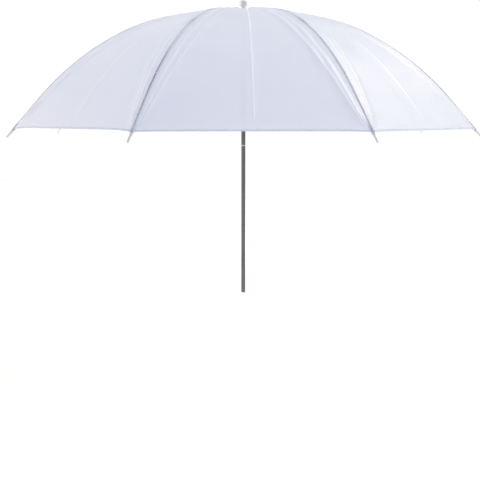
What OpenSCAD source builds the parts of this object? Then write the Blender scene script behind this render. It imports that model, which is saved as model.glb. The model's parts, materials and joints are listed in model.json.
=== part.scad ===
// Folding white translucent studio umbrella with eight ribs.
// The origin is the centre of the shaft's lower end, +Z runs up the shaft to the canopy.
// Rib 1 lies 22.5 degrees from +X and the others follow counter-clockwise, so a gore faces -Y.

/* [Canopy] */
// Number of ribs and of gores
rib_count = 8; // [8:1:8]
// Radius at which the rib tips end
tip_radius = 420; // [400:1:440]
// Drop of the cloth from the canopy's top to the elbows
elbow_depth = 41.1; // [40:0.1:42]
// Exponent of the cloth's profile inside the elbows, flat at the crown
profile_power = 2.61; // [2.5:0.01:2.7]
// Slope of the cloth just outside the elbows
elbow_slope = 27; // [26.5:0.1:27.5]
// Slope of the cloth's straight part, down to the hem
hem_slope = 49.2; // [49:0.1:49.6]
// Slope of the ribs' straight ends, which close in on the cloth
rod_slope = 48.5; // [48.4:0.1:48.8]
// Radius at which the cloth's straight part starts
straight_radius = 365; // [360:1:370]
// Thickness of the cloth's stand-in solid
cloth_t = 0.6; // [0.4:0.1:1]
// Radius at which the cloth's corners end
corner_radius = 410.3; // [406:0.1:410.5]
// Gap between neighbouring panels of the cloth
panel_gap = 0.4; // [0.3:0.1:0.8]

/* [Shaft] */
// Shaft diameter
shaft_d = 8; // [7:0.5:8]
// Shaft wall thickness
shaft_wall = 0.8; // [0.6:0.1:1]
// Height of the canopy's top over the shaft's lower end
apex_z = 523.7; // [500:0.1:540]
// Height of the rolled groove in the shaft
groove_z = 283.2; // [250:0.1:300]
// Width of the rolled groove
groove_w = 1.6; // [1:0.1:3]
// Depth of the rolled groove
groove_depth = 0.35; // [0.2:0.05:0.5]

/* [Ribs and stretchers] */
// Rib rod diameter
rib_d = 2.4; // [2:0.1:2.6]
// Stretcher rod diameter
stretcher_d = 2.2; // [2:0.1:2.4]
// Radius at which each stretcher is riveted to its rib
elbow_radius = 220; // [200:1:230]
// Drop from the cloth to the rib's centreline at the rivet
rib_drop = 3.2; // [3.1:0.1:3.4]
// Height of the inner rib's bow over its chord
inner_bow = 14; // [12:0.5:14.5]
// Radius of the circle on which ribs and stretchers hinge at crown and runner
pivot_radius = 10; // [9.5:0.5:11]
// Drop from the canopy's top to the crown pivots
pivot_drop = 6; // [5:0.5:7]
// Radius of the wire rings in crown and runner
wire_r = 0.6; // [0.5:0.05:0.7]
// Radius of the rivets' shanks
rivet_r = 0.9; // [0.7:0.05:1]

/* [Crown, runner and ferrule] */
// Outer radius of the notched flanges
flange_r = 13; // [12.5:0.5:14]
// Width of the notches
notch_w = 2; // [1.8:0.1:2.2]
// Runner bore's clearance around the shaft
runner_clearance = 0.3; // [0.2:0.05:0.5]
// Length of the runner below its pivots
runner_skirt = 24; // [20:1:30]
// Radius of the ferrule's knob
knob_r = 7.3; // [6:0.1:8]
// Height of the ferrule's knob
knob_h = 9.6; // [8:0.1:12]
// Radius of the ferrule's neck
neck_r = 4.2; // [4:0.1:5]
// Height of the ferrule's neck over the washer
neck_h = 11.4; // [8:0.1:20]

/* [Catch] */
// Height of the catch spring's pin under the catch's top
catch_len = 26; // [22:1:30]
// How far the catch stands out of the shaft
catch_out = 2.6; // [2:0.1:3]
// Thickness of the catch spring
catch_t = 1.8; // [1.2:0.1:2]

/* [Hidden] */
$fn = 32;
half_gore = 180 / rib_count;
squeeze = cos(half_gore);
shaft_r = shaft_d / 2;
shaft_bore = shaft_r - shaft_wall;
rib_r = rib_d / 2;
stretcher_r = stretcher_d / 2;

// Hinge points in a rib's own plane: [radius, height]
crown_pivot = [pivot_radius, apex_z - pivot_drop];
elbow = [elbow_radius, cloth_z(elbow_radius) - rib_drop];
runner_pivot = [pivot_radius, 2 * elbow[1] - crown_pivot[1]];

// The cloth outside the elbows: an arc, then a straight part from straight_radius to the hem
bend_radius = (straight_radius - elbow_radius) / (sin(hem_slope) - sin(elbow_slope));
bend_centre = [elbow_radius, cloth_z(elbow_radius)] - bend_radius * [sin(elbow_slope), cos(elbow_slope)];

// The outer rod: an arc parallel to the cloth's, then a straight end that stops inside the tip cap
rod_end_inset = 6;
rod_bend_radius = bend_radius - rib_drop * cos(elbow_slope);
rod_bend_start = asin((elbow_radius - bend_centre[0]) / rod_bend_radius);
rod_knee = bend_centre + rod_bend_radius * [sin(rod_slope), cos(rod_slope)];
rod_straight = (tip_radius - rod_end_inset - rod_knee[0]) / cos(rod_slope);
rod_end = rod_knee + rod_straight * [cos(rod_slope), -sin(rod_slope)];

// Flat ends of the rods
lug_r = 1.7;
tang_eye_r = 2.2;
tang_t = 1.2;
tang_len = 8.5;
rod_trim = 7;
tongue_t = 1.4;
cheek_t = 0.8;
side_gap = 0.3;
lug_len = 10.5;
lug_overlap = 2;
fork_overlap = 0.5;
bridge_len = 2.5;
pin_play = 0.05;
wire_play = 0.3;
rivet_head_r = 1.5;
rivet_head_t = 0.5;
outer_cheek_y = tongue_t / 2 + side_gap;
stretcher_cheek_y = outer_cheek_y + cheek_t + side_gap;

// Tip caps
cap_r = 1.9;
cap_wall = 0.65;
cap_back = 7;
cap_ahead = rod_end_inset / cos(rod_slope);

// Crown, washer and ferrule
crown_top_gap = 0.9;
crown_h = 10.4;
notch_roof = 1;
notch_floor_r = 6.8;
groove_h = 1.5;
groove_floor_r = pivot_radius - wire_r - 0.2;
fit_play = 0.05;
washer_r = 9;
washer_t = 1.2;
washer_z = apex_z + cloth_t / 2 + 0.3;
cloth_hole_r = 5.6;
shaft_top = washer_z + washer_t;
spigot_len = 14;
knob_round = 2;

// Runner
runner_up = 4.5;
runner_down = 5.5;
runner_tube_r = 7.5;
runner_collar_r = 8.6;
runner_collar_h = 4;
runner_notch_floor_r = 7.4;
runner_notch_depth = 2.6;

// Catch, its pin and the stop pin
catch_top = runner_pivot[1] - runner_skirt - 0.5;
catch_pin_z = catch_top - catch_len;
catch_pin_r = 0.6;
catch_eye_r = 1.6;
slot_w = catch_t + 0.6;
slot_below = 23;
slot_above = 2;
stop_pin_r = 1;
stop_pin_z = runner_pivot[1] + runner_up + 2.2;
stop_pin_len = 11;
plug_len = 12;
plug_recess = 0.3;

// Resolution of the cloth's profile
profile_steps = 12;

RIBS = [for (i = [1:rib_count]) i];

// Colours
CLOTH = [0.92, 0.92, 0.97];
STEEL = [0.45, 0.46, 0.49];
DARK_STEEL = [0.3, 0.31, 0.33];
PLASTIC = [0.88, 0.88, 0.86];

// Height of the cloth over a rib at radius r, inside the elbow
function cloth_z(r) = apex_z - elbow_depth * pow(r / elbow_radius, profile_power);

// Azimuth of rib i and of the gore that follows it
function rib_azimuth(i) = (2 * i - 1) * half_gore;
function gore_azimuth(i) = 2 * i * half_gore;

// A circular arc from a to b that bows by `bow` over its chord
function chord(a, b) = norm(b - a);
function fall(a, b) = atan2(a[1] - b[1], b[0] - a[0]);
function arc_radius(a, b, bow) = (pow(chord(a, b) / 2, 2) + bow * bow) / (2 * bow);
function arc_half(a, b, bow) = asin(chord(a, b) / 2 / arc_radius(a, b, bow));
function arc_centre(a, b, bow) =
    (a + b) / 2 - (arc_radius(a, b, bow) - bow) * [sin(fall(a, b)), cos(fall(a, b))];
function along(length, radius) = length / radius * 180 / PI;

// Slopes at the two ends of the inner rod
inner_start = fall(crown_pivot, elbow) - arc_half(crown_pivot, elbow, inner_bow);
inner_end = fall(crown_pivot, elbow) + arc_half(crown_pivot, elbow, inner_bow);
stretcher_rise = atan2(elbow[1] - runner_pivot[1], elbow[0] - runner_pivot[0]);

// A bent rod in the XZ plane, from one slope to another
module bent_rod(centre, radius, slope_a, slope_b, r) {
    translate([centre[0], 0, centre[1]])
        rotate([90, 0, 0])
        rotate([0, 0, 90 - slope_b])
        rotate_extrude(angle = slope_b - slope_a, $fn = 48)
        translate([radius, 0])
        circle(r);
}

// Moves to a point of the XZ plane and turns +X to `angle` over the horizontal
module at(point, angle) {
    translate([point[0], 0, point[1]])
        rotate([0, -angle, 0])
        children();
}

// A cylinder along Y, centred on y = 0
module cross_pin(r, length) {
    rotate([90, 0, 0])
        cylinder(r = r, h = length, center = true);
}

// A flat bar with a round eye at its start, along +X
module lug(eye_r, bar_h, length, thickness, y) {
    translate([0, y, 0]) {
        cross_pin(eye_r, thickness);
        translate([0, -thickness / 2, -bar_h / 2])
            cube([length, thickness, bar_h]);
    }
}

// Two flat bars side by side, joined at their far end
module fork(bar_h, y) {
    mid = y + cheek_t / 2;
    for (side = [-1, 1])
        lug(lug_r, bar_h, lug_len, cheek_t, side * mid);
    translate([lug_len - bridge_len / 2, -y - cheek_t, -bar_h / 2])
        cube([bridge_len, 2 * (y + cheek_t), bar_h]);
}

// A ring of wire around the shaft
module wire_ring(z) {
    translate([0, 0, z])
        rotate_extrude($fn = 48)
        translate([pivot_radius, 0])
        circle(wire_r);
}

// Radial notches in a flange, with the groove that the wire lies in
module notches(z_low, z_high, floor_r, z_wire) {
    for (i = RIBS)
        rotate([0, 0, rib_azimuth(i)])
        translate([floor_r, -notch_w / 2, z_low])
        cube([flange_r, notch_w, z_high - z_low]);
    translate([0, 0, z_wire - groove_h / 2])
        rotate_extrude($fn = 48)
        translate([groove_floor_r, 0])
        square([flange_r, groove_h]);
}

// The shaft

module shaft_tube() {
    color(DARK_STEEL)
    difference() {
        cylinder(r = shaft_r, h = shaft_top);
        translate([0, 0, -1])
            cylinder(r = shaft_bore, h = shaft_top + 2);
        translate([0, 0, groove_z - groove_w / 2])
            rotate_extrude($fn = 48)
            translate([shaft_r - groove_depth, 0])
            square([shaft_r, groove_w]);
        translate([0, -slot_w / 2, catch_top - slot_below])
            cube([shaft_d, slot_w, slot_below + slot_above]);
        translate([0, 0, catch_pin_z])
            cross_pin(catch_pin_r + fit_play, shaft_d + 1);
        translate([0, 0, stop_pin_z])
            cross_pin(stop_pin_r + fit_play, shaft_d + 1);
    }
}

module end_plug() {
    color("dimgray")
    translate([0, 0, plug_recess])
        cylinder(r = shaft_bore - fit_play, h = plug_len);
}

module stop_pin() {
    color(STEEL)
    translate([0, 0, stop_pin_z])
        cross_pin(stop_pin_r, stop_pin_len);
}

module catch_pin() {
    color(STEEL)
    translate([0, 0, catch_pin_z])
        cross_pin(catch_pin_r, shaft_d - 0.2);
}

// A blade with a square shoulder that holds the runner up and a slope that lets it pass
module catch_spring() {
    nose_x = shaft_r + catch_out;
    color(STEEL)
    difference() {
        translate([0, 0, catch_pin_z]) {
            cross_pin(catch_eye_r, catch_t);
            rotate([90, 0, 0])
                linear_extrude(catch_t, center = true)
                polygon([
                    [-1, 0], [1.4, 0], [shaft_r - 1, catch_len * 0.3],
                    [nose_x, catch_len - 2], [nose_x, catch_len],
                    [1, catch_len], [0, catch_len * 0.5]
                ]);
        }
        translate([0, 0, catch_pin_z])
            cross_pin(catch_pin_r + pin_play, catch_t + 1);
    }
}

// The crown, which holds the ribs, and what sits over it

module crown() {
    top = apex_z - crown_top_gap;
    color(PLASTIC)
    difference() {
        translate([0, 0, top - crown_h])
            cylinder(r = flange_r, h = crown_h);
        translate([0, 0, top - crown_h - 1])
            cylinder(r = shaft_r + fit_play, h = crown_h + 2);
        notches(top - crown_h - 1, top - notch_roof, notch_floor_r, crown_pivot[1]);
    }
}

module crown_wire() {
    color(STEEL)
    wire_ring(crown_pivot[1]);
}

module cloth_washer() {
    color(PLASTIC)
    translate([0, 0, washer_z])
        difference() {
            cylinder(r = washer_r, h = washer_t);
            translate([0, 0, -1])
                cylinder(r = shaft_r + fit_play, h = washer_t + 2);
        }
}

// A round knob on a neck, with a spigot that plugs the shaft's top
module ferrule_cap() {
    top = neck_h + knob_h;
    color(PLASTIC)
    translate([0, 0, shaft_top])
        rotate_extrude($fn = 48)
        union() {
            polygon([
                [0, -spigot_len], [shaft_bore - fit_play, -spigot_len],
                [shaft_bore - fit_play, 0], [neck_r, 0], [neck_r, neck_h - 1],
                [knob_r - 0.6, neck_h + 0.6], [knob_r, neck_h + knob_round],
                [knob_r, top - knob_round], [knob_r - knob_round, top], [0, top]
            ]);
            intersection() {
                translate([knob_r - knob_round, top - knob_round])
                    circle(knob_round);
                translate([knob_r - knob_round, top - knob_round])
                    square(knob_round);
            }
        }
}

// The runner, which slides on the shaft and carries the stretchers

module runner() {
    color(PLASTIC)
    translate([0, 0, runner_pivot[1]])
        difference() {
            union() {
                translate([0, 0, -runner_down])
                    cylinder(r = flange_r, h = runner_down + runner_up);
                translate([0, 0, -runner_skirt])
                    cylinder(r = runner_tube_r, h = runner_skirt);
                translate([0, 0, -runner_skirt])
                    cylinder(r = runner_collar_r, h = runner_collar_h);
            }
            translate([0, 0, -runner_skirt - 1])
                cylinder(r = shaft_r + runner_clearance, h = runner_skirt + runner_up + 2);
            notches(-runner_notch_depth, runner_up + 1, runner_notch_floor_r, 0);
        }
}

module runner_wire() {
    color(STEEL)
    wire_ring(runner_pivot[1]);
}

// Ribs, stretchers and tip caps, each built in the XZ plane and turned to its azimuth

module rib_inner(i) {
    radius = arc_radius(crown_pivot, elbow, inner_bow);
    centre = arc_centre(crown_pivot, elbow, inner_bow);
    rod_start = inner_start + along(rod_trim, radius);
    rod_stop = inner_end - along(lug_len - lug_overlap, radius);
    color(STEEL)
    rotate([0, 0, rib_azimuth(i)])
        difference() {
            union() {
                bent_rod(centre, radius, rod_start, rod_stop, rib_r);
                at(crown_pivot, -inner_start)
                    lug(tang_eye_r, rib_d, tang_len, tang_t, 0);
                at(elbow, 180 - inner_end)
                    lug(lug_r, rib_d, lug_len, tongue_t, 0);
            }
            at(crown_pivot, 0)
                cross_pin(wire_r + wire_play, tang_t + 1);
            at(elbow, 0)
                cross_pin(rivet_r + pin_play, tongue_t + 1);
        }
}

module rib_outer(i) {
    rod_start = rod_bend_start + along(lug_len - fork_overlap, rod_bend_radius);
    color(STEEL)
    rotate([0, 0, rib_azimuth(i)])
        difference() {
            union() {
                bent_rod(bend_centre, rod_bend_radius, rod_start, rod_slope, rib_r);
                at(rod_knee, -rod_slope)
                    rotate([0, 90, 0])
                    cylinder(r = rib_r, h = rod_straight);
                at(elbow, -rod_bend_start)
                    fork(rib_d, outer_cheek_y);
            }
            at(elbow, 0)
                cross_pin(rivet_r + pin_play, 2 * (outer_cheek_y + cheek_t) + 1);
        }
}

// The stretcher and the rivet that joins it to the rib
module stretcher(i) {
    rivet_half = stretcher_cheek_y + cheek_t + 0.1;
    rod_len = norm(elbow - runner_pivot) - rod_trim - lug_len;
    color(STEEL)
    rotate([0, 0, rib_azimuth(i)]) {
        difference() {
            union() {
                at(runner_pivot, stretcher_rise) {
                    lug(tang_eye_r, stretcher_d, tang_len, tang_t, 0);
                    translate([rod_trim, 0, 0])
                        rotate([0, 90, 0])
                        cylinder(r = stretcher_r, h = rod_len);
                }
                at(elbow, stretcher_rise + 180)
                    fork(stretcher_d, stretcher_cheek_y);
            }
            at(runner_pivot, 0)
                cross_pin(wire_r + wire_play, tang_t + 1);
            at(elbow, 0)
                cross_pin(rivet_r + pin_play, 2 * rivet_half + 1);
        }
        at(elbow, 0) {
            cross_pin(rivet_r, 2 * rivet_half + rivet_head_t);
            for (side = [-1, 1])
                translate([0, side * (rivet_half + rivet_head_t / 2), 0])
                cross_pin(rivet_head_r, rivet_head_t);
        }
    }
}

module tip_cap(i) {
    color(PLASTIC)
    rotate([0, 0, rib_azimuth(i)])
        at(rod_end, -rod_slope)
        rotate([0, 90, 0])
        difference() {
            union() {
                translate([0, 0, -cap_back])
                    cylinder(r = cap_r, h = cap_back + cap_ahead - cap_r);
                translate([0, 0, cap_ahead - cap_r])
                    sphere(cap_r);
            }
            translate([0, 0, -cap_back - 1])
                cylinder(r = cap_r - cap_wall, h = cap_back + 2);
        }
}

// The cloth: a gore between two ribs is straight along the chord from rib to rib

// A strip's outline given by its profile, [radius over the rib, height] from the inside out
module panel(upper, lower) {
    far = 2 * tip_radius;
    outline = concat(
        [for (p = upper) [p[0] * squeeze, p[1]]],
        [for (j = [len(lower) - 1:-1:0]) [lower[j][0] * squeeze, lower[j][1]]]
    );
    intersection() {
        rotate([90, 0, 0])
            linear_extrude(far, center = true)
            polygon(outline);
        translate([panel_gap / 2 / sin(half_gore), 0, 0])
            linear_extrude(2 * apex_z)
            polygon([[0, 0], [far, far * tan(half_gore)], [far, -far * tan(half_gore)]]);
    }
}

// The outer cloth's profile, `raised` off its middle: the arc's points, then the end of its straight part
function outer_skin(turns, raised, hem) =
    let (arc = [for (a = turns) bend_centre + (bend_radius + raised) * [sin(a), cos(a)]])
    concat(arc, [arc[len(arc) - 1] + hem]);

module gore_inner(i) {
    radii = [for (j = [0:profile_steps]) (elbow_radius - panel_gap / 2) * j / profile_steps];
    color(CLOTH)
    rotate([0, 0, gore_azimuth(i)])
        difference() {
            panel(
                [for (r = radii) [r, cloth_z(r) + cloth_t / 2]],
                [for (r = radii) [r, cloth_z(r) - cloth_t / 2]]
            );
            cylinder(r = cloth_hole_r, h = 2 * apex_z);
        }
}

module gore_outer(i) {
    hinge_turn = asin((elbow_radius + panel_gap / 2 - bend_centre[0]) / bend_radius);
    turns = [for (j = [0:profile_steps]) hinge_turn + (hem_slope - hinge_turn) * j / profile_steps];
    hem = (corner_radius - straight_radius) * [1, -tan(hem_slope)];
    color(CLOTH)
    rotate([0, 0, gore_azimuth(i)])
        panel(outer_skin(turns, cloth_t / 2, hem), outer_skin(turns, -cloth_t / 2, hem));
}

// Every node

shaft_tube();
end_plug();
crown();
crown_wire();
ferrule_cap();
cloth_washer();
stop_pin();
catch_pin();
catch_spring();
runner();
runner_wire();
for (i = RIBS) {
    rib_inner(i);
    rib_outer(i);
    stretcher(i);
    tip_cap(i);
    gore_inner(i);
    gore_outer(i);
}
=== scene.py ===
"""Looks of a folding white studio umbrella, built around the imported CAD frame."""
import json
import math

import bpy
import numpy as np
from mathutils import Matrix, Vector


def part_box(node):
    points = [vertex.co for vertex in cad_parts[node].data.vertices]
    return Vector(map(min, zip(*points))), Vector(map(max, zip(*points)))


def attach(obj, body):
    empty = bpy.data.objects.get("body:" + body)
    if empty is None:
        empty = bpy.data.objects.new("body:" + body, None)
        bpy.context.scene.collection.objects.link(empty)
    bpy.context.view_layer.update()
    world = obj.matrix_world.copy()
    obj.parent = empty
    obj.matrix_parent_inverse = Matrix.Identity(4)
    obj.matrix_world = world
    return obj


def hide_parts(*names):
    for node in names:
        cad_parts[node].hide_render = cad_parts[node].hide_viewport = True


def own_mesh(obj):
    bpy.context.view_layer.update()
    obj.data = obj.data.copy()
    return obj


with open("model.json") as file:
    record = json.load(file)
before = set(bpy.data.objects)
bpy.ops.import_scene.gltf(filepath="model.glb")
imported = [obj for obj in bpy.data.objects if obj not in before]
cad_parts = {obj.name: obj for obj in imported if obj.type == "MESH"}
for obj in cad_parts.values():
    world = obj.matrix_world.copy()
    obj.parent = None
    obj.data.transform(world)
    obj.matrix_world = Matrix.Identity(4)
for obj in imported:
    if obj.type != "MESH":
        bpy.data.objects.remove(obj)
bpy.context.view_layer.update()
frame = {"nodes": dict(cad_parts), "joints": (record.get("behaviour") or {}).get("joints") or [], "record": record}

MM = 0.001

# ---------------------------------------------------------------------------
# Sizes. Lengths are in metres, angles in radians.
# ---------------------------------------------------------------------------
RIBS = range(1, 9)
HALF_GORE = math.pi / len(RIBS)
SQUEEZE = math.cos(HALF_GORE)
SPREAD = math.sin(HALF_GORE)
JOINTS = {joint["name"]: joint for joint in frame["joints"]}
CLOTH_HALF = 0.3 * MM

ELBOW_R = math.hypot(*JOINTS["gore_2_flex"]["pos_m"][:2]) / SQUEEZE
ELBOW_Z = JOINTS["gore_2_flex"]["pos_m"][2]
APEX_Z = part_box("gore_2_inner")[1].z - CLOTH_HALF
CROWN_R = 5.6 * MM
PIVOT_R = math.hypot(*JOINTS["canopy_fold"]["pos_m"][:2])
PIVOT_Z = JOINTS["canopy_fold"]["pos_m"][2]
RIVET_Z = JOINTS["rib_1_flex"]["pos_m"][2]
GROOVE_HALF = 0.8 * MM
GROOVE_Z = frame["record"]["mounts"][0]["dims"]["length_mm"] * MM + GROOVE_HALF

# The cloth's profile: a power curve inside the elbow, then an arc, then a straight part
PROFILE_POWER = 2.61
ELBOW_SLOPE = math.radians(27)
HEM_SLOPE = math.radians(49.2)
STRAIGHT_R = 365 * MM
HEM_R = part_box("gore_2_outer")[1].y / SQUEEZE - CLOTH_HALF * math.sin(HEM_SLOPE)
BLEND_WIDTH = 30 * MM

# The rods under it
ROD_RADIUS = 1.2 * MM
INNER_BOW = 14 * MM
KNEE_R = 359 * MM
ROD_END_R = 414 * MM
KNEE_GAP = 2.85 * MM
END_GAP = 1.87 * MM

# The stretched cloth: its sag between the ribs, and the hem's arch, which varies from gore to gore
# and eases out towards the elbow
SAG = 1.5 * MM
ARCH = 1.1 * MM
ARCH_SWAY = 1.9
MOST_ARCHED_GORE = 5
ARCH_EASE = 3
# The higher this power, the nearer to the seams the arch and the crown's pleats run out
EDGE_POWER = 8
# Distance from a seam in which the cloth comes down to it
SEAM_HOLD = 3 * MM

# The pressed crease down the middle of each gore
CREASE_HEIGHT = 0.75 * MM
CREASE_WIDTH = 2.0 * MM
CREASE_OFFSET = 2.9 * MM
CREASE_LIMIT = 0.25

# The pressed folds that fan out from the corners: how fast each leaves the seam, its place at the
# crown, the height and width of its soft swell in mm, and how strong the highlight painted along it is
FAN = ((0.06, 0.87, 0.0, 4.0, 0.4), (0.15, 0.7, 0.8, 5.0, 0.85), (0.3, 0.38, 1.2, 7.0, 0.6))
CORNER_STEP = 0.016
FOLD_HEIGHT = 0.5 * MM
FOLD_WIDTH = 1.7 * MM
ROUNDING = 0.3 * MM

# Ripples among the folds, puckers along the seams and pleats at the crown. The ripples' place and
# spread are shares of half a gore's width, out from its middle.
RIPPLE_HEIGHT = 0.3 * MM
RIPPLE_PITCH = 17 * MM
RIPPLE_PLACE = 0.82
RIPPLE_SPREAD = 0.12
PUCKER_PITCH = 7 * MM
PUCKER_REACH = 7 * MM
PUCKER_SLANT = 0.6
PUCKER_BETWEEN = 0.04 * MM
PUCKER_AT_HEM = 0.4 * MM
PUCKER_AT_CROWN = 0.2 * MM
PLEAT_HEIGHT = 1.8 * MM
PLEATS_ACROSS = 5


def rib_azimuth(i):
    return (2 * i - 1) * HALF_GORE


def gore_azimuth(i):
    return 2 * i * HALF_GORE


def smooth(t):
    """A smooth step from 0 to 1 as t goes from 0 to 1."""
    t = np.clip(t, 0.0, 1.0)
    return t * t * (3 - 2 * t)


def window(t, start, rise, end, fall):
    """1 between start and end, with soft flanks of the lengths rise and fall outside them."""
    return smooth((t - start + rise) / rise) * smooth((end + fall - t) / fall)


# ---------------------------------------------------------------------------
# The cloth's surface
# ---------------------------------------------------------------------------
BEND = (STRAIGHT_R - ELBOW_R) / (math.sin(HEM_SLOPE) - math.sin(ELBOW_SLOPE))
BEND_CENTRE_R = ELBOW_R - BEND * math.sin(ELBOW_SLOPE)
BEND_CENTRE_Z = ELBOW_Z - BEND * math.cos(ELBOW_SLOPE)


def profile(r):
    """Height of the cloth over a rib at radius r."""
    inner = APEX_Z - (APEX_Z - ELBOW_Z) * (r / ELBOW_R) ** PROFILE_POWER
    bent = BEND_CENTRE_Z + np.sqrt(BEND ** 2 - (np.minimum(r, STRAIGHT_R) - BEND_CENTRE_R) ** 2)
    outer = bent - np.maximum(r - STRAIGHT_R, 0) * math.tan(HEM_SLOPE)
    share = smooth((r - ELBOW_R) / BLEND_WIDTH + 0.5)
    return inner * (1 - share) + outer * share


def slope(r):
    """How fast the profile falls at radius r."""
    step = 0.1 * MM
    return (profile(r - step) - profile(r + step)) / (2 * step)


def ridge(distance, width):
    """A soft ridge, 1 high at its top."""
    return np.exp(-(distance / width) ** 2)


def crease_offset(gore):
    """How far the pressed crease of a gore runs beside its middle."""
    return CREASE_OFFSET * np.random.default_rng(gore).uniform(0.6, 1.2)


def fold_places(r, gore):
    """Places across a gore, at radius r, of the fold lines left and right of its crease."""
    rng = np.random.default_rng(100 + gore)
    sides = []
    for side in (-1, 1):
        places = []
        for step, (spread, start, *_) in enumerate(FAN, start=1):
            leaving = spread * rng.uniform(0.85, 1.15) * np.maximum(HEM_R - r, 0) / (r * SPREAD)
            inwards = leaving / (1 + leaving / (1 - start)) + CORNER_STEP * step
            places.append(side * (1 - inwards))
        sides.append(places)
    return sides


def crease_place(r, gore):
    """Place across a gore of its pressed crease at radius r."""
    return np.minimum(crease_offset(gore) / (r * SPREAD), CREASE_LIMIT)


def out_from_crown(r):
    """0 where the cloth leaves the crown and 1 at its hem."""
    return (r - CROWN_R) / (HEM_R - CROWN_R)


def fold_reach(r):
    """How strong the pressed folds are at radius r, from 0 to 1."""
    return window(out_from_crown(r), 0.1, 0.06, 0.95, 0.04)


def crease_reach(r):
    """How strong the pressed crease is at radius r, from 0 to 1."""
    return window(out_from_crown(r), 0.07, 0.06, 0.93, 0.05)


def cusp(distance, width):
    """A pressed fold: a narrow ridge with a slightly rounded top."""
    return np.exp(-np.sqrt(distance ** 2 + ROUNDING ** 2) / width)


def relief(r, v, gore):
    """Offset of the cloth from straight chords between its ribs, along its normal.
    v runs from -1 at one seam to 1 at the other, where the offset is 0."""
    rng = np.random.default_rng(200 + gore)
    half = r * SPREAD
    edge = half * (1 - np.abs(v))
    u = out_from_crown(r)
    held = 1 - np.exp(-edge / SEAM_HOLD)

    offset = -SAG * np.sin(np.pi * np.clip(u, 0, 1)) * (1 - v * v)

    crease = cusp((v - crease_place(r, gore)) * half, CREASE_WIDTH)
    offset += CREASE_HEIGHT * crease * crease_reach(r) * held

    for side, places in zip((-1, 1), fold_places(r, gore)):
        for place, (_, _, height, width, _) in zip(places, FAN):
            distance = (v - place) * half
            swell = height * MM * rng.uniform(0.7, 1.3) * ridge(distance, width * MM)
            pressed = FOLD_HEIGHT * rng.uniform(0.6, 1.2) * cusp(distance, FOLD_WIDTH)
            offset += (swell + pressed) * fold_reach(r) * held
        across = (side * v - 0.5) * half
        ripple = np.cos(2 * np.pi * across / RIPPLE_PITCH + rng.uniform(0, 6))
        reach = ridge(side * v - RIPPLE_PLACE, RIPPLE_SPREAD) * window(u, 0.3, 0.1, 0.8, 0.15)
        offset += RIPPLE_HEIGHT * ripple * reach * held

    wave = np.sin(2 * np.pi * (r + PUCKER_SLANT * edge) / PUCKER_PITCH + rng.uniform(0, 6))
    near_hem, near_crown = smooth((u - 0.72) / 0.25), smooth((0.3 - u) / 0.2)
    height = PUCKER_BETWEEN + PUCKER_AT_HEM * near_hem + PUCKER_AT_CROWN * near_crown
    offset += height * wave * held * np.exp(-edge / PUCKER_REACH)

    pleats = np.cos(np.pi * (PLEATS_ACROSS * v + rng.uniform(-0.2, 0.2))) * (1 - v ** EDGE_POWER)
    offset += PLEAT_HEIGHT * pleats * window(u, 0.05, 0.04, 0.16, 0.2) * held
    return offset


def highlight_line_distance(r, v, gore):
    """Distance to the nearest pressed line of a gore, along which the canopy's nylon paints a highlight, stretched
    where that line is weak.
    """
    half = r * SPREAD
    faintest = 0.01
    nearest = np.abs(v - crease_place(r, gore)) * half / np.maximum(crease_reach(r), faintest)
    for places in fold_places(r, gore):
        for place, (*_, strength) in zip(places, FAN):
            distance = np.abs(v - place) * half / np.maximum(strength * fold_reach(r), faintest)
            nearest = np.minimum(nearest, distance)
    return nearest


def arch(r, v, gore):
    """How far the hem is drawn up between its corners, easing out towards the elbow."""
    share = np.clip((r - ELBOW_R) / (HEM_R - ELBOW_R), 0, 1) ** ARCH_EASE
    height = ARCH * (1 + math.cos(ARCH_SWAY * (gore - MOST_ARCHED_GORE)))
    return height * (1 - v ** EDGE_POWER) * share


def cloth(r, v, gore, raised=0.0):
    """Points of the cloth in the gore's own frame: outwards, sideways and up."""
    drawn = r - arch(r, v, gore)
    tilt = np.arctan(slope(drawn) / SQUEEZE)
    offset = relief(r, v, gore) + raised
    return np.stack([
        drawn * SQUEEZE + offset * np.sin(tilt),
        v * r * SPREAD,
        profile(drawn) + offset * np.cos(tilt),
    ], axis=-1)


def turned(points, azimuth):
    """Points turned about the shaft by an azimuth."""
    c, s = math.cos(azimuth), math.sin(azimuth)
    x, y, z = points[..., 0], points[..., 1], points[..., 2]
    return np.stack([c * x - s * y, s * x + c * y, z], axis=-1)


# ---------------------------------------------------------------------------
# Mesh helpers
# ---------------------------------------------------------------------------
def grid_faces(rows, columns, closed=False):
    """Quads of a grid of points, stored row by row. closed joins the last column to the first."""
    across = columns if closed else columns - 1
    row, column = np.meshgrid(np.arange(rows - 1), np.arange(across), indexing="ij")
    after = (column + 1) % columns
    quads = [row * columns + column, row * columns + after,
             (row + 1) * columns + after, (row + 1) * columns + column]
    return np.stack(quads, axis=-1).reshape(-1, 4)


def piece(name, points, faces, *materials):
    """A smooth-shaded object from points and faces. faces may be a list of groups, one a material."""
    groups = faces if isinstance(faces, list) else [faces]
    mesh = bpy.data.meshes.new(name)
    mesh.from_pydata(np.asarray(points).reshape(-1, 3).tolist(), [],
                     [face for group in groups for face in group.tolist()])
    for material in materials:
        mesh.materials.append(material)
    index = np.repeat(np.arange(len(groups)), [len(group) for group in groups])
    mesh.polygons.foreach_set("material_index", index.astype(np.int32))
    mesh.shade_smooth()
    mesh.validate()
    made = bpy.data.objects.new(name, mesh)
    bpy.context.scene.collection.objects.link(made)
    return made


# The distance to the nearest line that is stored where no line is near
FAR = 1.0


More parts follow.
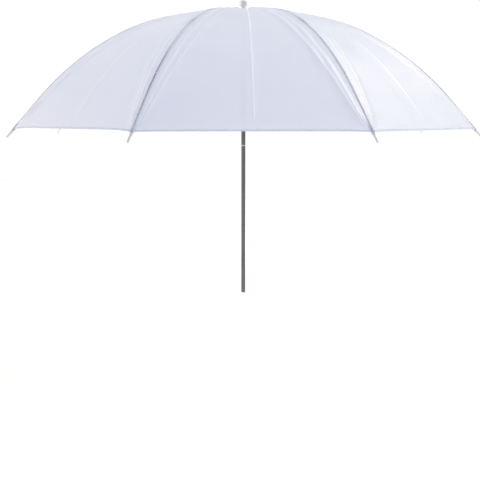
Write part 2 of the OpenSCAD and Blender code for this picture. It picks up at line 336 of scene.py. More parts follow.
def with_cut(made, flat, line=None):
    """Stores each point's place on the flat cut, which the weave follows, and its distance from
    the line that its material draws along it."""
    flat = np.asarray(flat, np.float32).reshape(-1, 3)
    distance = np.full(len(flat), FAR) if line is None else line
    layer = made.data.attributes.new("cut", "FLOAT_VECTOR", "POINT")
    layer.data.foreach_set("vector", flat.ravel())
    layer = made.data.attributes.new("line", "FLOAT", "POINT")
    layer.data.foreach_set("value", np.asarray(distance, np.float32).ravel())


def capped(rows, columns):
    """Quads of a closed tube of rows rings, with a fan of quads over each end ring."""
    ends = []
    half = columns // 2
    for base in (0, (rows - 1) * columns):
        for k in range(half - 1):
            ring = [base + k, base + k + 1, base + columns - 2 - k, base + columns - 1 - k]
            ends.append(ring if base else ring[::-1])
    return np.concatenate([grid_faces(rows, columns, closed=True), np.array(ends)])


def stitches(middles, along, up, length, radius):
    """A spindle for each stitch: its two ends and a ring of four points around its middle."""
    along = along / np.linalg.norm(along, axis=-1, keepdims=True)
    up = up - along * (up * along).sum(-1, keepdims=True)
    up = up / np.linalg.norm(up, axis=-1, keepdims=True)
    side = np.cross(along, up)
    ends = [-along * length / 2, along * length / 2]
    offsets = ends + [up * radius, side * radius, -up * radius, -side * radius]
    points = np.stack([middles + offset for offset in offsets], axis=1)
    pattern = [(0, 3, 2), (0, 4, 3), (0, 5, 4), (0, 2, 5), (1, 2, 3), (1, 3, 4), (1, 4, 5), (1, 5, 2)]
    faces = np.array(pattern)[None] + len(offsets) * np.arange(len(middles))[:, None, None]
    return points.reshape(-1, 3), faces.reshape(-1, 3)


# ---------------------------------------------------------------------------
# Materials
# ---------------------------------------------------------------------------
class Look:
    """A material under construction, with short ways to add nodes."""

    def __init__(self, name):
        self.material = bpy.data.materials.new(name)
        self.material.use_nodes = True
        self.tree = self.material.node_tree
        self.tree.nodes.clear()
        self.output = self.add("OutputMaterial")

    def add(self, kind, **values):
        """A new node of this kind. Each value goes to the input of that name, or else the property."""
        node = self.tree.nodes.new("ShaderNode" + kind)
        for name, value in values.items():
            if name in node.inputs:
                node.inputs[name].default_value = value
            else:
                setattr(node, name, value)
        return node

    def link(self, source, target):
        self.tree.links.new(source, target)

    def math(self, operation, a, b=0.0):
        """The result of one sum. a and b are numbers or sockets."""
        node = self.add("Math", operation=operation)
        for socket, value in zip(node.inputs, (a, b)):
            if isinstance(value, (int, float)):
                socket.default_value = value
            else:
                self.link(value, socket)
        return node.outputs[0]

    def weighted(self, first, share, second):
        """A share of first, and the rest of second."""
        rest = self.math("MULTIPLY", second, 1 - share)
        return self.math("ADD", self.math("MULTIPLY", first, share), rest)

    def ramp(self, value, low, high, dark, light):
        """A colour that runs from dark to light as value goes from low to high."""
        node = self.add("ValToRGB")
        node.color_ramp.elements[0].position = low
        node.color_ramp.elements[0].color = (*dark, 1)
        node.color_ramp.elements[1].position = high
        node.color_ramp.elements[1].color = (*light, 1)
        self.link(value, node.inputs[0])
        return node.outputs[0]

    def mixed(self, factor, first, second):
        """A colour that runs from first to second as factor goes from 0 to 1."""
        node = self.add("Mix", data_type="RGBA")
        self.link(factor, node.inputs["Factor"])
        for socket, colour in zip(node.inputs[6:8], (first, second)):
            if isinstance(colour, tuple):
                socket.default_value = (*colour, 1)
            else:
                self.link(colour, socket)
        return node.outputs[2]

    def range(self, value, low, high, to_low, to_high):
        """value moved from the range low to high into the range to_low to to_high."""
        node = self.add("MapRange")
        for name, number in (("From Min", low), ("From Max", high), ("To Min", to_low), ("To Max", to_high)):
            node.inputs[name].default_value = number
        self.link(value, node.inputs[0])
        return node.outputs[0]

    def place(self, scale=(1, 1, 1)):
        """Object coordinates, scaled."""
        mapping = self.add("Mapping")
        mapping.inputs["Scale"].default_value = scale
        self.link(self.add("TexCoord").outputs["Object"], mapping.inputs[0])
        return mapping.outputs[0]

    def noise(self, vector, scale, detail, roughness):
        """Cloudy noise. At a larger scale it is finer."""
        node = self.add("TexNoise", Scale=scale, Detail=detail, Roughness=roughness)
        self.link(vector, node.inputs["Vector"])
        return node.outputs["Fac"]

    def bump(self, height, distance, strength, normal=None):
        """A normal tilted by the relief of height, on top of another normal if there is one."""
        node = self.add("Bump", Distance=distance, Strength=strength)
        self.link(height, node.inputs["Height"])
        if normal is not None:
            self.link(normal, node.inputs["Normal"])
        return node.outputs["Normal"]

    def principled(self, **values):
        """The main shader. Each value is a number, a colour or a socket."""
        names = {"colour": "Base Color", "roughness": "Roughness", "metallic": "Metallic", "alpha": "Alpha",
                 "sheen": "Sheen Weight", "sheen_roughness": "Sheen Roughness", "coat": "Coat Weight",
                 "coat_roughness": "Coat Roughness", "subsurface": "Subsurface Weight",
                 "subsurface_scale": "Subsurface Scale", "specular": "Specular IOR Level",
                 "normal": "Normal"}
        node = self.add("BsdfPrincipled")
        for name, value in values.items():
            socket = node.inputs[names[name]]
            if isinstance(value, bpy.types.NodeSocket):
                self.link(value, socket)
            elif isinstance(value, tuple):
                socket.default_value = (*value, 1)
            else:
                socket.default_value = value
        return node

    def finish(self, shader):
        self.link(shader, self.output.inputs["Surface"])
        return self.material


THREADS_PER_METRE = 2400
# Blender's wave texture of scale 1 has this many waves in 2 pi metres
WAVES_AT_SCALE_1 = 20


def weave(look, cut):
    """Height of a plain weave on the flat cut: two crossing sets of threads."""
    waves = []
    for direction in ("X", "Y"):
        wave = look.add("TexWave", wave_type="BANDS", bands_direction=direction,
                        Scale=2 * math.pi * THREADS_PER_METRE / WAVES_AT_SCALE_1)
        look.link(cut, wave.inputs["Vector"])
        waves.append(wave.outputs["Fac"])
    return look.math("MULTIPLY", *waves)


def nylon(name, dark, light, through, share, alpha, line, line_width):
    """Translucent woven nylon, mottled from dark to light. A share of its light passes through it,
    in the colour through. line is the colour painted where its attribute "line" is 0: painted
    highlights along the canopy's folds, the rod's painted shadow down a seam, a darker hem edge."""
    look = Look(name)
    cut = look.add("Attribute", attribute_name="cut").outputs["Vector"]
    height = weave(look, cut)
    clouds = look.noise(cut, scale=14.0, detail=4.0, roughness=0.6)
    plain = look.ramp(look.weighted(height, 0.15, clouds), 0.2, 0.7, dark, light)
    distance = look.math("ABSOLUTE", look.add("Attribute", attribute_name="line").outputs["Fac"])
    drawn = look.range(distance, line_width, 0.3 * line_width, 0.0, 1.0)
    patches = look.noise(cut, scale=9.0, detail=2.0, roughness=0.5)
    line_share = look.math("MULTIPLY", drawn, look.range(patches, 0.34, 0.52, 0.5, 1.0))
    roughness = look.range(clouds, 0.3, 0.7, 0.32, 0.46)
    wrinkles = look.noise(cut, scale=60.0, detail=3.0, roughness=0.6)
    wrinkled = look.bump(wrinkles, distance=0.6 * MM, strength=0.3)
    normal = look.bump(height, distance=0.05 * MM, strength=0.2, normal=wrinkled)
    front = look.principled(colour=look.mixed(line_share, plain, line), roughness=roughness, alpha=alpha,
                            sheen=0.25, sheen_roughness=0.4, specular=0.5, normal=normal)
    back = look.add("BsdfTranslucent")
    look.link(look.mixed(line_share, through, line), back.inputs["Color"])
    look.link(normal, back.inputs["Normal"])
    shader = look.add("MixShader", Fac=share)
    look.link(front.outputs[0], shader.inputs[1])
    look.link(back.outputs[0], shader.inputs[2])
    return look.finish(shader.outputs[0])


def thread_look():
    """Twisted sewing thread."""
    look = Look("sewing_thread")
    place = look.place()
    twist = look.add("TexWave", wave_type="BANDS", bands_direction="DIAGONAL", Scale=180.0, Distortion=1.5)
    look.link(place, twist.inputs["Vector"])
    colour = look.ramp(twist.outputs["Fac"], 0.2, 0.8, (0.74, 0.76, 0.82), (0.93, 0.93, 0.96))
    normal = look.bump(twist.outputs["Fac"], distance=0.06 * MM, strength=0.6)
    shader = look.principled(colour=colour, roughness=0.62, sheen=0.4, normal=normal)
    return look.finish(shader.outputs[0])


def steel_look(name, dark, light, roughness, grain_scale):
    """Drawn metal: fine lines along its length, soft stains and rubbed spots."""
    look = Look(name)
    grain = look.noise(look.place(grain_scale), scale=900.0, detail=4.0, roughness=0.6)
    stains = look.noise(look.place(), scale=45.0, detail=5.0, roughness=0.6)
    blotch = look.weighted(grain, 0.5, stains)
    colour = look.ramp(blotch, 0.35, 0.65, dark, light)
    rough = look.range(blotch, 0.35, 0.65, roughness - 0.06, roughness + 0.1)
    normal = look.bump(grain, distance=0.02 * MM, strength=0.5)
    shader = look.principled(colour=colour, metallic=0.92, roughness=rough, normal=normal)
    return look.finish(shader.outputs[0])


def shaft_look():
    """Dark nickel tube: drawn lines along it, faint rub marks, and a lighter band round its groove."""
    look = Look("shaft_nickel")
    lines = look.noise(look.place((1, 1, 0.02)), scale=1400.0, detail=4.0, roughness=0.6)
    rubs = look.noise(look.place((1, 1, 0.35)), scale=60.0, detail=5.0, roughness=0.65)
    tone = look.weighted(lines, 0.45, rubs)
    plain = look.ramp(tone, 0.35, 0.68, (0.12, 0.12, 0.121), (0.19, 0.19, 0.191))
    split = look.add("SeparateXYZ")
    look.link(look.add("TexCoord").outputs["Object"], split.inputs[0])
    height = look.math("ABSOLUTE", look.math("SUBTRACT", split.outputs["Z"], GROOVE_Z))
    ring = look.range(height, GROOVE_HALF * 1.5, GROOVE_HALF, 0.0, 1.0)
    colour = look.mixed(ring, plain, (0.5, 0.5, 0.51))
    rough = look.range(tone, 0.35, 0.68, 0.34, 0.46)
    normal = look.bump(lines, distance=0.02 * MM, strength=0.4)
    shader = look.principled(colour=colour, metallic=0.85, roughness=rough, normal=normal)
    return look.finish(shader.outputs[0])


def plastic_look(name, dark, light, roughness, coat, subsurface):
    """Moulded plastic: cloudy colour, fine grain, a few scuffs."""
    look = Look(name)
    clouds = look.noise(look.place(), scale=90.0, detail=4.0, roughness=0.6)
    grain = look.noise(look.place(), scale=1800.0, detail=2.0, roughness=0.5)
    scuffs = look.noise(look.place((1, 1, 3)), scale=350.0, detail=6.0, roughness=0.75)
    colour = look.ramp(clouds, 0.35, 0.7, dark, light)
    rough = look.range(scuffs, 0.4, 0.7, roughness - 0.05, roughness + 0.15)
    scuffed = look.bump(scuffs, distance=0.05 * MM, strength=0.3)
    normal = look.bump(grain, distance=0.04 * MM, strength=0.35, normal=scuffed)
    shader = look.principled(colour=colour, roughness=rough, coat=coat, coat_roughness=0.15,
                             subsurface=subsurface, subsurface_scale=3 * MM, normal=normal)
    return look.finish(shader.outputs[0])


# The canopy's pale line colour is a painted highlight along each gore's pressed crease and folds.
CLOTH = nylon("canopy_nylon", dark=(0.745, 0.78, 0.86), light=(0.8, 0.835, 0.92),
              through=(0.79, 0.825, 0.92), share=0.42, alpha=0.94,
              line=(0.97, 0.98, 1.0), line_width=1.3 * MM)
# The seam's nylon is whiter than the canopy's, partly its doubled cloth and partly painted light that lifts the
# shade of the rod under it; its dark line colour paints the rod's shadow down the welt's middle.
SEAM = nylon("seam_nylon", dark=(0.97, 0.97, 0.99), light=(1.0, 1.0, 1.0),
             through=(1.0, 1.0, 1.0), share=0.6, alpha=0.9,
             line=(0.13, 0.14, 0.17), line_width=0.95 * MM)
# The hem's nylon, also used for the tip pockets, is paler than the canopy's: partly its doubled cloth, partly
# painted light that makes up for the light its closed fold keeps out.
HEM = nylon("hem_nylon", dark=(0.92, 0.94, 0.98), light=(0.96, 0.97, 1.0),
            through=(0.97, 0.98, 1.0), share=0.68, alpha=0.92,
            line=(0.8, 0.83, 0.9), line_width=0.4 * MM)
THREAD = thread_look()
NODE_LOOKS = {
    "shaft": shaft_look(),
    "rib": steel_look("rib_steel", dark=(0.2, 0.2, 0.215), light=(0.36, 0.365, 0.39),
                      roughness=0.36, grain_scale=(1, 1, 0.05)),
    "steel": steel_look("bright_steel", dark=(0.42, 0.42, 0.43), light=(0.62, 0.62, 0.64),
                        roughness=0.3, grain_scale=(1, 1, 0.3)),
    "plastic": plastic_look("crown_plastic", dark=(0.74, 0.74, 0.71), light=(0.84, 0.84, 0.82),
                            roughness=0.5, coat=0.0, subsurface=0.1),
    "runner": plastic_look("runner_plastic", dark=(0.72, 0.74, 0.75), light=(0.84, 0.85, 0.86),
                           roughness=0.42, coat=0.0, subsurface=0.25),
    "ferrule": plastic_look("ferrule_plastic", dark=(0.92, 0.88, 0.8), light=(0.98, 0.95, 0.88),
                            roughness=0.3, coat=0.4, subsurface=0.2),
    "tip": plastic_look("tip_plastic", dark=(0.82, 0.77, 0.69), light=(0.9, 0.86, 0.78),
                        roughness=0.3, coat=0.4, subsurface=0.1),
    "plug": plastic_look("plug_rubber", dark=(0.03, 0.03, 0.032), light=(0.06, 0.06, 0.063),
                         roughness=0.6, coat=0.0, subsurface=0.0),
}


def dress_nodes():
    """Gives every CAD node the look of its material slot."""
    for part in frame["record"]["subparts"]:
        if part["material_slot"] in NODE_LOOKS:
            for place in frame["nodes"][part["node"]].material_slots:
                place.material = NODE_LOOKS[part["material_slot"]]


# ---------------------------------------------------------------------------
# Cloth pieces
# ---------------------------------------------------------------------------
ROWS_INNER = 76
ROWS_OUTER = 100
# Columns of mesh between each line and the next, from one seam to the other, and how much closer
# together they lie beside a line
SEGMENT_COLUMNS = (6, 8, 10, 24, 24, 10, 8, 6)
CROWDING = 0.12
INNER_RADII = CROWN_R + (ELBOW_R - CROWN_R) * np.linspace(0, 1, ROWS_INNER)
OUTER_RADII = ELBOW_R + (HEM_R - ELBOW_R) * np.linspace(0, 1, ROWS_OUTER)


def columns_at(radii, gore):
    """Places across a gore at each radius, row by row. A column follows each seam, fold line and
    crease, and the columns between lie closer together beside them."""
    left, right = fold_places(radii, gore)
    edge = np.ones_like(radii)
    lines = [-edge, *left, crease_place(radii, gore), *right[::-1], edge]
    columns = []
    for low, high, count in zip(lines, lines[1:], SEGMENT_COLUMNS):
        t = np.arange(count) / count
        columns.append(low[:, None] + (high - low)[:, None] * (t - CROWDING * np.sin(2 * np.pi * t)))
    columns.append(edge[:, None])
    return np.concatenate(columns, axis=1)


def arc_length(radii):
    """Distance along the profile from the crown to each radius."""
    fine = np.linspace(0, radii.max() + MM, 2000)
    steps = np.hypot(np.diff(fine), np.diff(profile(fine)))
    return np.interp(radii, fine, np.concatenate([[0], np.cumsum(steps)]))


def fold_with(made, body):
    """The piece rides on a gore's body, with a mesh of its own."""
    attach(made, body)
    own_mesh(made)


def gore_panel(gore, part, radii):
    """The cloth of a gore between two ribs, inside or outside the elbows."""
    v = columns_at(radii, gore)
    r = np.broadcast_to(radii[:, None], v.shape)
    points = turned(cloth(r, v, gore), gore_azimuth(gore))
    made = piece(f"canopy_{gore}_{part}", points, grid_faces(*r.shape), CLOTH)
    flat = np.stack([v * r * SPREAD, arc_length(r), np.full(r.shape, float(gore))], axis=-1)
    with_cut(made, flat, highlight_line_distance(r, v, gore))
    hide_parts(f"gore_{gore}_{part}")
    fold_with(made, f"{part}_gore_{gore}")
    return made


def surface_frame(r, v, gore):
    """Points of the cloth with its unit normals, in the model's frame."""
    step = 0.2 * MM
    along_r = cloth(r + step, v, gore) - cloth(r - step, v, gore)
    spread = step / (r * SPREAD)
    along_v = cloth(r, v + spread, gore) - cloth(r, v - spread, gore)
    normal = np.cross(along_r, along_v)
    normal /= np.linalg.norm(normal, axis=-1, keepdims=True)
    azimuth = gore_azimuth(gore)
    return turned(cloth(r, v, gore), azimuth), turned(normal, azimuth)


def beside_seam(r, w, rib):
    """Points and normals of the cloth at a distance w to one side of a rib's seam."""
    gore = rib if w >= 0 else (rib - 2) % len(RIBS) + 1
    away = abs(w)
    outwards = r * SQUEEZE + away * SPREAD
    sideways = r * SPREAD - away * SQUEEZE
    along = outwards / SQUEEZE
    v = np.clip(sideways / (along * SPREAD), 0.0, 1.0)
    return surface_frame(along, -v if w >= 0 else v, gore)


SEAM_HALF = 0.95 * MM
# The welt's outline: shares of its half width, and heights over the cloth in mm
SEAM_SECTION = ((-1.0, 0.04), (-0.75, 0.2), (-0.4, 0.26), (-0.16, 0.42), (0.0, 0.52),
                (0.16, 0.42), (0.4, 0.26), (0.75, 0.2), (1.0, 0.04),
                (0.75, -0.22), (0.4, -0.3), (0.0, -0.35), (-0.4, -0.3), (-0.75, -0.22))
STITCH_LENGTH = 2.1 * MM
STITCH_PITCH = 3.0 * MM
STITCH_RADIUS = 0.2 * MM
STITCH_LIFT = 0.26 * MM
# The two rows of stitches on a welt, as a share of its half width, and how far short of its ends
# they stop
STITCH_ROW = 0.58
FIRST_STITCH = 4 * MM
LAST_STITCH = 2 * MM
# Far enough from a seam to lie on one gore
HAIR = 0.01 * MM
# The rod's shadow, painted as a dark line down the middle of its seam: its middle and its reach
# along the seam, how it varies from rib to rib, and how strong it is at least
ROD_SHADOW_PLACE = 385 * MM
ROD_SHADOW_LENGTH = 50 * MM
ROD_SHADOW_SWAY = 2.9
DARKEST_ROD_SHADOW_RIB = 6
FAINTEST_ROD_SHADOW = 0.08


def sewn_strip(name, body_points, flat, line, material, stitch_rows):
    """A strip of cloth, given ring by ring, with rows of stitches on it."""
    rows, columns = body_points.shape[:2]
    points, thread_faces = [body_points.reshape(-1, 3)], []
    used = rows * columns
    for middles, up in stitch_rows:
        spindles, group = stitches(middles, np.gradient(middles, axis=0), up, STITCH_LENGTH, STITCH_RADIUS)
        thread_faces.append(group + used)
        points.append(spindles)
        used += len(spindles)
    points = np.concatenate(points)
    stitch_count = len(points) - rows * columns
    made = piece(name, points, [capped(rows, columns), np.concatenate(thread_faces)], material, THREAD)
    flat = np.concatenate([flat.reshape(-1, 3), np.zeros((stitch_count, 3))])
    with_cut(made, flat, np.concatenate([line.ravel(), np.full(stitch_count, FAR)]))
    return made


def rod_shadow(rib, length):
    """How dark the rod's painted shadow is on its seam, from 0 to 1, along the seam."""
    shadow_weight = 0.5 + 0.5 * math.cos(ROD_SHADOW_SWAY * (rib - DARKEST_ROD_SHADOW_RIB))
    return FAINTEST_ROD_SHADOW + (1 - FAINTEST_ROD_SHADOW) * shadow_weight * ridge(length - ROD_SHADOW_PLACE, ROD_SHADOW_LENGTH)


def seam_band(rib, part, radii):
    """The sewn seam along a rib: a folded welt with a row of stitches on each side of its ridge.
    Its ridge takes the mean of the two gores that meet there."""
    rows = np.linspace(radii[0], radii[-1], 2 * len(radii))
    ring = []
    for share, height in SEAM_SECTION:
        distances = (share * SEAM_HALF,) if share else (-HAIR, HAIR)
        sides = [beside_seam(rows, w, rib) for w in distances]
        base = sum(point for point, _ in sides) / len(sides)
        up = sum(normal for _, normal in sides)
        up /= np.linalg.norm(up, axis=-1, keepdims=True)
        ring.append(base + up * height * MM)
    width = np.array([share for share, _ in SEAM_SECTION]) * SEAM_HALF
    w, length = np.meshgrid(width, arc_length(rows))
    flat = np.stack([w, length, np.full(w.shape, float(rib))], axis=-1)

    count = int((arc_length(radii)[-1] - arc_length(radii)[0]) / STITCH_PITCH)
    places = np.linspace(radii[0] + FIRST_STITCH, radii[-1] - LAST_STITCH, count)
    stitch_rows = []
    for share in (-STITCH_ROW, STITCH_ROW):
        base, up = beside_seam(places, share * SEAM_HALF, rib)
        stitch_rows.append((base + up * STITCH_LIFT, up))
    # Distance from the welt's middle, stretched where the rod's painted shadow is faint; the seam's nylon paints
    # that shadow as a dark line.
    line = w / rod_shadow(rib, length)
    made = sewn_strip(f"seam_{rib}_{part}", np.stack(ring, axis=1), flat, line, SEAM, stitch_rows)
    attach(made, f"{part}_rib_{rib}")
    return made


HEM_WIDTH = 2.0 * MM
# The hem's outline: shares of its width from its inner edge, and heights over the cloth in mm
HEM_SECTION = ((0.0, 0.04), (0.08, 0.2), (0.5, 0.24), (0.92, 0.24), (1.0, 0.16), (1.04, 0.0),
               (1.0, -0.16), (0.92, -0.24), (0.5, -0.24), (0.08, -0.2))
HEM_STITCH_SHARE = 0.82
HEM_STITCH_END = 0.97


def hem_band(gore):
    """The folded hem along a gore's outer edge, with a row of stitches outside and inside."""
    v = columns_at(np.array([HEM_R]), gore)[0]
    ring = []
    for share, height in HEM_SECTION:
        base, up = surface_frame(HEM_R - HEM_WIDTH * (1 - share) + 0 * v, v, gore)
        ring.append(base + up * height * MM)
    down = np.array([share for share, _ in HEM_SECTION]) * HEM_WIDTH
    across, along = np.meshgrid(down, v * HEM_R * SPREAD)
    flat = np.stack([along, across, np.full(along.shape, float(gore))], axis=-1)

    line = HEM_R - HEM_STITCH_SHARE * HEM_WIDTH
    places = np.linspace(-HEM_STITCH_END, HEM_STITCH_END, int(2 * line * SPREAD / STITCH_PITCH))
    base, up = surface_frame(line + 0 * places, places, gore)
    stitch_rows = [(base + up * lift, up) for lift in (STITCH_LIFT, -STITCH_LIFT)]
    edge = HEM_WIDTH - across
    made = sewn_strip(f"hem_{gore}", np.stack(ring, axis=1), flat, edge, HEM, stitch_rows)
    fold_with(made, f"outer_gore_{gore}")
    return made


# ---------------------------------------------------------------------------
# Sewn details on the ribs
# ---------------------------------------------------------------------------
def inner_rod(r):
    """A point of the inner rod and its slope: an arc between its two pivots."""
    chord_r, chord_z = ELBOW_R - PIVOT_R, PIVOT_Z - RIVET_Z
    half = math.hypot(chord_r, chord_z) / 2
    bend = (half ** 2 + INNER_BOW ** 2) / (2 * INNER_BOW)
    fall = math.atan2(chord_z, chord_r)
    centre_r = (PIVOT_R + ELBOW_R) / 2 - (bend - INNER_BOW) * math.sin(fall)
    centre_z = (PIVOT_Z + RIVET_Z) / 2 - (bend - INNER_BOW) * math.cos(fall)
    height = centre_z + np.sqrt(bend ** 2 - (r - centre_r) ** 2)
    return np.stack([r, 0 * r, height], axis=-1), np.arcsin((r - centre_r) / bend)


def outer_rod(r):
    """The point of the outer rod under the cloth at radius r, and its slope."""
    tilt = np.arctan(slope(r))
    gap = np.interp(r, (KNEE_R, ROD_END_R), (KNEE_GAP, END_GAP))
    height = profile(r) - gap * np.cos(tilt)
    return np.stack([r - gap * np.sin(tilt), 0 * r, height], axis=-1), tilt


def rod_axes(tilt):
    """The direction along a rod and the direction away from it, towards the cloth."""
    along = np.stack([np.cos(tilt), 0 * tilt, -np.sin(tilt)], axis=-1)
    up = np.stack([np.sin(tilt), 0 * tilt, np.cos(tilt)], axis=-1)
    return along, up


SIDEWAYS = np.array([0.0, 1.0, 0.0])

# The pocket at a corner, from its mouth on the rod to its end past the hem
POCKET_BACK = 7 * MM
POCKET_LENGTH = 9 * MM
POCKET_HALF_WIDTH = 3.2 * MM
POCKET_NARROWING = 0.8 * MM
POCKET_TOP = 2.9 * MM
POCKET_FALL = 0.6 * MM
POCKET_BOTTOM = 2.2 * MM
POCKET_DROP = 0.15 * MM
POCKET_RIPPLE = 0.1 * MM
# Size of its inside, as a share of its outside
POCKET_INSIDE = 0.9
POCKET_RINGS = 14
POCKET_SIDES = 24


def pocket(rib):
    """The sewn pocket at the cloth's corner that the tip cap sits in."""
    steps = np.linspace(0, 1, POCKET_RINGS)
    turns = np.linspace(0, 2 * np.pi, POCKET_SIDES, endpoint=False)
    base, tilt = outer_rod(HEM_R - POCKET_BACK + POCKET_LENGTH * steps)
    _, up = rod_axes(tilt)
    swell = POCKET_RIPPLE * np.sin(5 * np.pi * steps) * np.sin(np.pi * steps)
    half_width = POCKET_HALF_WIDTH - POCKET_NARROWING * smooth(steps * 1.3) + swell
    top = POCKET_TOP - POCKET_FALL * smooth(steps * 1.2) + swell
    bottom = POCKET_BOTTOM + POCKET_DROP * steps + swell
    lift = np.where(np.sin(turns) > 0, top[:, None], bottom[:, None]) * np.sin(turns)
    reach = half_width[:, None] * np.cos(turns)
    section = up[:, None] * lift[..., None] + SIDEWAYS * reach[..., None]
    outside, inside = base[:, None] + section, base[:, None] + section * POCKET_INSIDE
    rings = np.concatenate([outside, inside[::-1]])
    faces = grid_faces(len(rings), len(turns), closed=True)
    last = (len(rings) - 1) * len(turns)
    k = np.arange(len(turns))
    after = (k + 1) % len(turns)
    rim = np.stack([last + k, last + after, after, k], axis=-1)
    points = turned(rings, rib_azimuth(rib))
    made = piece(f"tip_pocket_{rib}", points, np.concatenate([faces, rim]), HEM)
    with_cut(made, points.reshape(-1, 3)[:, [2, 0, 1]])
    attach(made, f"outer_rib_{rib}")
    return made


# The thread ties: three loops side by side, round the rod and through the seam
TIE_SHIFTS = (-0.55 * MM, 0.0, 0.55 * MM)
TIE_HALF_WIDTH = 1.6 * MM
TIE_THREAD_RADIUS = 0.26 * MM
# How much taller a loop is than the rod's radius and the gap to the cloth, and how far below the
# rod it hangs
TIE_SPARE = 1.0 * MM
TIE_BELOW = 0.3 * MM
LOOP_POINTS = 16
THREAD_SIDES = 6
INNER_TIES = (80 * MM, 150 * MM)
OUTER_TIES = (275 * MM, 340 * MM)


def thread_ties(rib, part, rod, places):
    """Loops of thread that tie the seam to its rod at these radii."""
    turns = np.linspace(0, 2 * np.pi, LOOP_POINTS, endpoint=False)
    around = np.linspace(0, 2 * np.pi, THREAD_SIDES, endpoint=False)
    points, faces = [], []
    for place in places:
        for shift in TIE_SHIFTS:
            base, tilt = rod(np.array([place + shift]))
            along, up = rod_axes(tilt)
            gap = (profile(base[0, 0]) - base[0, 2]) * math.cos(tilt[0])
            half_height = (gap + ROD_RADIUS + TIE_SPARE) / 2
            middle = base[0] + up[0] * (half_height - ROD_RADIUS - TIE_BELOW)
            out = up[0] * np.sin(turns)[:, None] * half_height
            out = out + SIDEWAYS * np.cos(turns)[:, None] * TIE_HALF_WIDTH
            unit = out / np.linalg.norm(out, axis=-1, keepdims=True)
            section = unit[:, None] * np.cos(around)[:, None] + along[0] * np.sin(around)[:, None]
            tube = (middle + out)[:, None] + TIE_THREAD_RADIUS * section
            ring = grid_faces(len(turns) + 1, len(around), closed=True) % (len(turns) * len(around))
            faces.append(ring + len(points) * len(turns) * len(around))
            points.append(tube.reshape(-1, 3))
    placed = turned(np.concatenate(points), rib_azimuth(rib))
    made = piece(f"ties_{rib}_{part}", placed, np.concatenate(faces), THREAD)
    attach(made, f"{part}_rib_{rib}")
    return made


# The inner seams start clear of the crown, and the seams lap each other at the elbows
SEAM_START_R = 7 * MM
SEAM_LAP = 1 * MM


def build_canopy():
    """Makes all the cloth, gore by gore."""
    for i in RIBS:
        inner = gore_panel(i, "inner", INNER_RADII)
        outer = gore_panel(i, "outer", OUTER_RADII)
        hem = hem_band(i)
        seam_band(i, "inner", np.linspace(SEAM_START_R, ELBOW_R + SEAM_LAP, ROWS_INNER))
        seam_band(i, "outer", np.linspace(ELBOW_R - SEAM_LAP, HEM_R, ROWS_OUTER))
        pocket(i)
        thread_ties(i, "inner", inner_rod, INNER_TIES)
        thread_ties(i, "outer", outer_rod, OUTER_TIES)


# ---------------------------------------------------------------------------
# Studio
# ---------------------------------------------------------------------------
# The camera, how far it looks down from level and turns to its left or right, and its lens
CAMERA_PLACE = (-0.0402, -1.2133, 0.3341)
CAMERA_DOWN = math.radians(8)
CAMERA_YAW = math.radians(-1.673)
LENS_MM = 47.64
SENSOR_MM = 36
SHIFT_X = -0.0016
SHIFT_Y = -0.0703

# The background as the camera sees it, and the light that it gives
SEEN_STRENGTH = 1.05
GIVEN_COLOUR = (0.57, 0.69, 1.0, 1)
GIVEN_STRENGTH = 0.66

# The floor's half width, its height just under the shaft, and its own glow
FLOOR_HALF = 2.4
FLOOR_Z = -2 * MM
FLOOR_GLOW = (1, 0.87, 0.55, 1)
FLOOR_GLOW_STRENGTH = 0.54


def build_camera():
    data = bpy.data.cameras.new("camera")
    data.lens = LENS_MM
    data.sensor_width = SENSOR_MM
    data.sensor_fit = "AUTO"
    data.shift_x = SHIFT_X
    data.shift_y = SHIFT_Y
    camera = bpy.data.objects.new("camera", data)
    camera.location = CAMERA_PLACE
    camera.rotation_euler = (math.pi / 2 - CAMERA_DOWN, 0, CAMERA_YAW)
    bpy.context.scene.collection.objects.link(camera)
    bpy.context.scene.camera = camera


def area_light(name, place, target, size, energy, colour):
    """A square of light at place that faces target."""
    data = bpy.data.lights.new(name, "AREA")
    data.shape = "SQUARE"
    data.size = size
    data.energy = energy
    data.color = colour
    light = bpy.data.objects.new(name, data)
    light.location = place
    direction = np.array(target) - np.array(place)
    yaw = math.atan2(-direction[0], direction[1])
    pitch = math.atan2(direction[2], math.hypot(direction[0], direction[1]))
    light.rotation_euler = (math.pi / 2 + pitch, 0, yaw)
    bpy.context.scene.collection.objects.link(light)


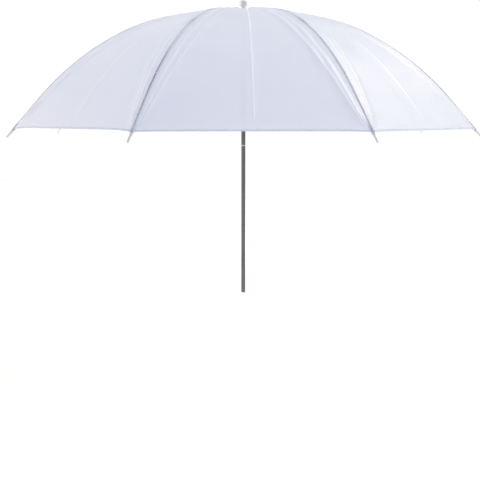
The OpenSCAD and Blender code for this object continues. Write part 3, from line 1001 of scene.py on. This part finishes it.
def build_world():
    """A white studio: the camera sees it white, and the light that it gives is dimmer and cooler."""
    world = bpy.data.worlds.new("studio")
    bpy.context.scene.world = world
    world.use_nodes = True
    tree = world.node_tree
    tree.nodes.clear()
    seen = tree.nodes.new("ShaderNodeBackground")
    seen.inputs[0].default_value = (1, 1, 1, 1)
    seen.inputs[1].default_value = SEEN_STRENGTH
    given = tree.nodes.new("ShaderNodeBackground")
    given.inputs[0].default_value = GIVEN_COLOUR
    given.inputs[1].default_value = GIVEN_STRENGTH
    path = tree.nodes.new("ShaderNodeLightPath")
    mix = tree.nodes.new("ShaderNodeMixShader")
    out = tree.nodes.new("ShaderNodeOutputWorld")
    tree.links.new(path.outputs["Is Camera Ray"], mix.inputs[0])
    tree.links.new(given.outputs[0], mix.inputs[1])
    tree.links.new(seen.outputs[0], mix.inputs[2])
    tree.links.new(mix.outputs[0], out.inputs[0])


def build_floor():
    """A plain pale floor, which glows a little in a warm white."""
    corners = [(x * FLOOR_HALF, y * FLOOR_HALF, 0.0) for x, y in ((-1, -1), (1, -1), (1, 1), (-1, 1))]
    look = Look("floor")
    clouds = look.noise(look.place(), scale=3.0, detail=3.0, roughness=0.5)
    tone = look.ramp(clouds, 0.3, 0.7, (0.88, 0.88, 0.88), (0.9, 0.9, 0.9))
    shader = look.principled(colour=tone, roughness=0.9)
    shader.inputs["Emission Color"].default_value = FLOOR_GLOW
    shader.inputs["Emission Strength"].default_value = FLOOR_GLOW_STRENGTH
    floor = piece("floor", corners, np.array([[0, 1, 2, 3]]), look.finish(shader.outputs[0]))
    floor.location = (0, 0, FLOOR_Z)


build_camera()
build_world()
build_floor()
area_light("key", place=(1.5, 0.4, 2.2), target=(0.1, 0, 0.45), size=1.3, energy=40,
           colour=(1.0, 0.89, 0.62))
area_light("fill", place=(-2.1, 0.4, 0.6), target=(-0.1, 0, 0.45), size=1.3, energy=28,
           colour=(1.0, 0.76, 0.46))
bpy.context.scene.view_settings.view_transform = "Standard"
dress_nodes()
build_canopy()

bpy.context.view_layer.update()
